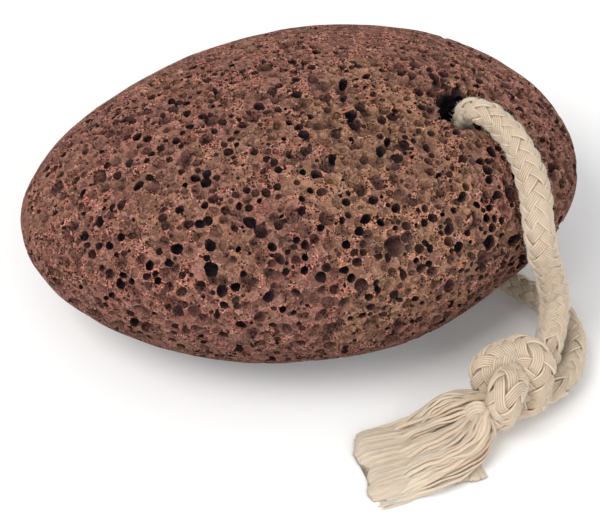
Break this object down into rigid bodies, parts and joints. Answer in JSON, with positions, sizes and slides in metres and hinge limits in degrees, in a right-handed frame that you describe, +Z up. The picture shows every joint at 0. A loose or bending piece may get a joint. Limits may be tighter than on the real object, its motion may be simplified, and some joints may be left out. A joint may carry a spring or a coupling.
{
  "type": "pumice foot stone",
  "caption": "Egg-shaped foot stone of red-brown vesicular lava, drilled at one end for a braided cotton cord loop that ends in an overhand knot and a frayed tassel.",
  "frame": {"origin": "on the flat resting face, at the bottom centre of the stone's own bounding box", "axes": "+X along the stone towards the drilled end, +Y away from the side where the knot and the tassel lie, +Z up through the stone's thickness"},
  "size_m": [0.1, 0.09, 0.0433],
  "materials": {
    "red_lava": "matte",
    "cotton_cord": "matte",
    "cotton_yarn": "matte"
  },
  "bodies": {
    "root": {"stone": "red_lava", "cord_loop": "cotton_cord", "knot": "cotton_cord", "tassel": "cotton_yarn"}
  },
  "joints": []
}
